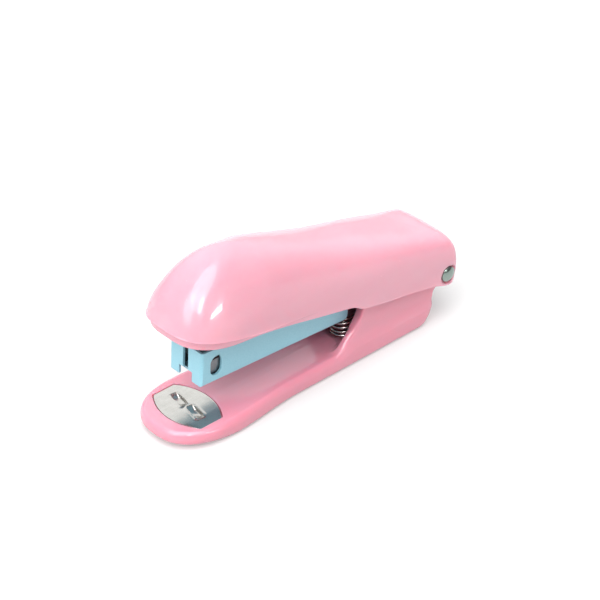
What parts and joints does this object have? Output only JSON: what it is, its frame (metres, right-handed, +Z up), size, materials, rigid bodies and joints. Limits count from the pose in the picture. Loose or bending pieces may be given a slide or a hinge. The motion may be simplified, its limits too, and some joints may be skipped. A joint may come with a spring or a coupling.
{
  "type": "stapler",
  "caption": "Compact desktop stapler for 24/6 staples: glossy pink plastic cover and base, pale blue steel magazine, bright steel anvil plate and pivot pin.",
  "frame": {"origin": "middle of the whole stapler's outline, on the surface that it stands on, at rest", "axes": "+X from the nose towards the pivot end, +Y across towards the far side, +Z up"},
  "size_m": [0.1171, 0.0308, 0.0574],
  "materials": {
    "pink_plastic": "gloss",
    "blue_paint": "gloss",
    "plated_steel": "satin",
    "bright_steel": "polished",
    "dark_plastic": "satin",
    "sole_rubber": "matte"
  },
  "bodies": {
    "base": {"base_shell": "pink_plastic", "base_sole": "sole_rubber", "anvil_plate": "bright_steel", "return_spring": "plated_steel", "pivot_pin": "bright_steel", "pivot_cap": "bright_steel", "pivot_spacer": "plated_steel"},
    "magazine": {"magazine_channel": "blue_paint", "magazine_frame": "plated_steel", "spring_stud": "bright_steel", "frame_rivet_front_near": "bright_steel", "frame_rivet_front_far": "bright_steel", "frame_rivet_rear_near": "bright_steel", "frame_rivet_rear_far": "bright_steel", "staple_core": "plated_steel", "guide_rod": "plated_steel", "spring_block": "dark_plastic", "pusher_spring": "plated_steel"},
    "pusher": {"pusher": "plated_steel"},
    "cover": {"cover_shell": "pink_plastic", "driver_frame": "plated_steel", "driver_blade": "bright_steel", "driver_rivet_near": "bright_steel", "driver_rivet_far": "bright_steel", "leaf_spring": "plated_steel", "leaf_rivet": "bright_steel"}
  },
  "joints": [
    {"name": "magazine_pivot", "type": "hinge", "parent": "base", "child": "magazine", "pos_m": [0.05252, 0, 0.0172], "axis": [0, 1, 0], "range_deg": [-6.1, 0], "stiffness_Nm_per_rad": 1.2, "springref_deg": 14.32, "deforming": ["return_spring"]},
    {"name": "cover_pivot", "type": "hinge", "parent": "magazine", "child": "cover", "pos_m": [0.05252, 0, 0.0172], "axis": [0, 1, 0], "range_deg": [-4.4, 75], "stiffness_Nm_per_rad": 0.15, "springref_deg": 8.59},
    {"name": "pusher_slide", "type": "slide", "parent": "magazine", "child": "pusher", "axis": [0.9984, 0, -0.0558], "range_m": [0, 0.026], "stiffness_N_per_m": 60, "springref_m": -0.03, "deforming": ["pusher_spring"]}
  ]
}
